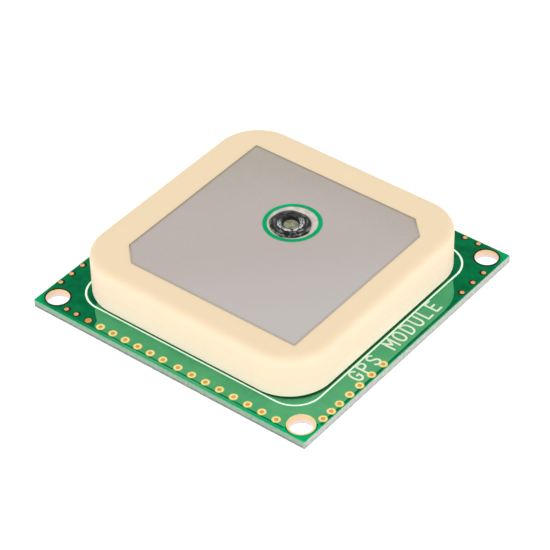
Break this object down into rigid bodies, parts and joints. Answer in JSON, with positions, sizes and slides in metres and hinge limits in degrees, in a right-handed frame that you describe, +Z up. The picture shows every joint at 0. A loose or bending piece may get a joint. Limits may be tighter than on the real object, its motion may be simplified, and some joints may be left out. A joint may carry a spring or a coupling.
{
  "type": "gps antenna module",
  "caption": "Square green circuit board with a cream ceramic patch antenna on top and a screened receiver, backup cell and side entry socket underneath.",
  "frame": {"origin": "centre of the board's outline, on the plane of the screening lid's outer face, which the module rests on", "axes": "+Z up through the board to the antenna; +Y towards the edge with the socket; the patch's cut corners are at -X-Y and +X+Y"},
  "size_m": [0.03, 0.03, 0.0085],
  "materials": {
    "laminate": "green solder mask over glass laminate, satin",
    "gold_plating": "gold plated copper, bright",
    "antenna_ceramic": "fired ceramic, cream, fine grained and matt",
    "fired_silver": "screen printed and fired silver, satin",
    "stop_print": "green solder stop print",
    "solder": "solder, bright",
    "plated_brass": "tin plated brass",
    "glue_pad": "dark double sided glue pad",
    "tinned_sheet": "tinned steel sheet, satin",
    "black_moulding": "black moulded plastic",
    "package_ceramic": "package ceramic with metal lid",
    "inductor_core": "moulded ferrite",
    "cell_steel": "stainless steel, bright",
    "socket_moulding": "off white moulded plastic",
    "capacitor_ceramic": "brown chip ceramic with tinned ends",
    "chip_glaze": "black glazed chip with tinned ends"
  },
  "bodies": {
    "root": {"antenna_amplifier": "black_moulding", "antenna_filter": "package_ceramic", "backup_cell": "cell_steel", "capacitor_1": "capacitor_ceramic", "capacitor_10": "capacitor_ceramic", "capacitor_2": "capacitor_ceramic", "capacitor_3": "capacitor_ceramic", "capacitor_4": "capacitor_ceramic", "capacitor_5": "capacitor_ceramic", "capacitor_6": "capacitor_ceramic", "capacitor_7": "capacitor_ceramic", "capacitor_8": "capacitor_ceramic", "capacitor_9": "capacitor_ceramic", "cell_tab_inner": "cell_steel", "cell_tab_outer": "cell_steel", "ceramic_block": "antenna_ceramic", "circuit_board": "laminate", "clock_crystal": "package_ceramic", "corner_barrel_back": "gold_plating", "corner_barrel_front": "gold_plating", "corner_barrel_left": "gold_plating", "corner_barrel_right": "gold_plating", "data_resistor_1": "chip_glaze", "data_resistor_2": "chip_glaze", "feed_pin": "plated_brass", "feed_solder": "solder", "ground_silver": "fired_silver", "memory_chip": "black_moulding", "mounting_pad": "glue_pad", "patch_silver": "fired_silver", "power_inductor": "inductor_core", "radio_oscillator": "package_ceramic", "receiver_chip": "black_moulding", "resistor_1": "chip_glaze", "resistor_2": "chip_glaze", "resistor_3": "chip_glaze", "shield_frame": "tinned_sheet", "shield_lid": "tinned_sheet", "socket_contact_1": "plated_brass", "socket_contact_2": "plated_brass", "socket_contact_3": "plated_brass", "socket_contact_4": "plated_brass", "socket_contact_5": "plated_brass", "socket_contact_6": "plated_brass", "socket_housing": "socket_moulding", "socket_nail_left": "tinned_sheet", "socket_nail_right": "tinned_sheet", "solder_stop_ring": "stop_print", "supply_bead": "chip_glaze", "supply_capacitor": "capacitor_ceramic", "tail_solder": "solder", "voltage_regulator": "black_moulding"}
  },
  "joints": []
}
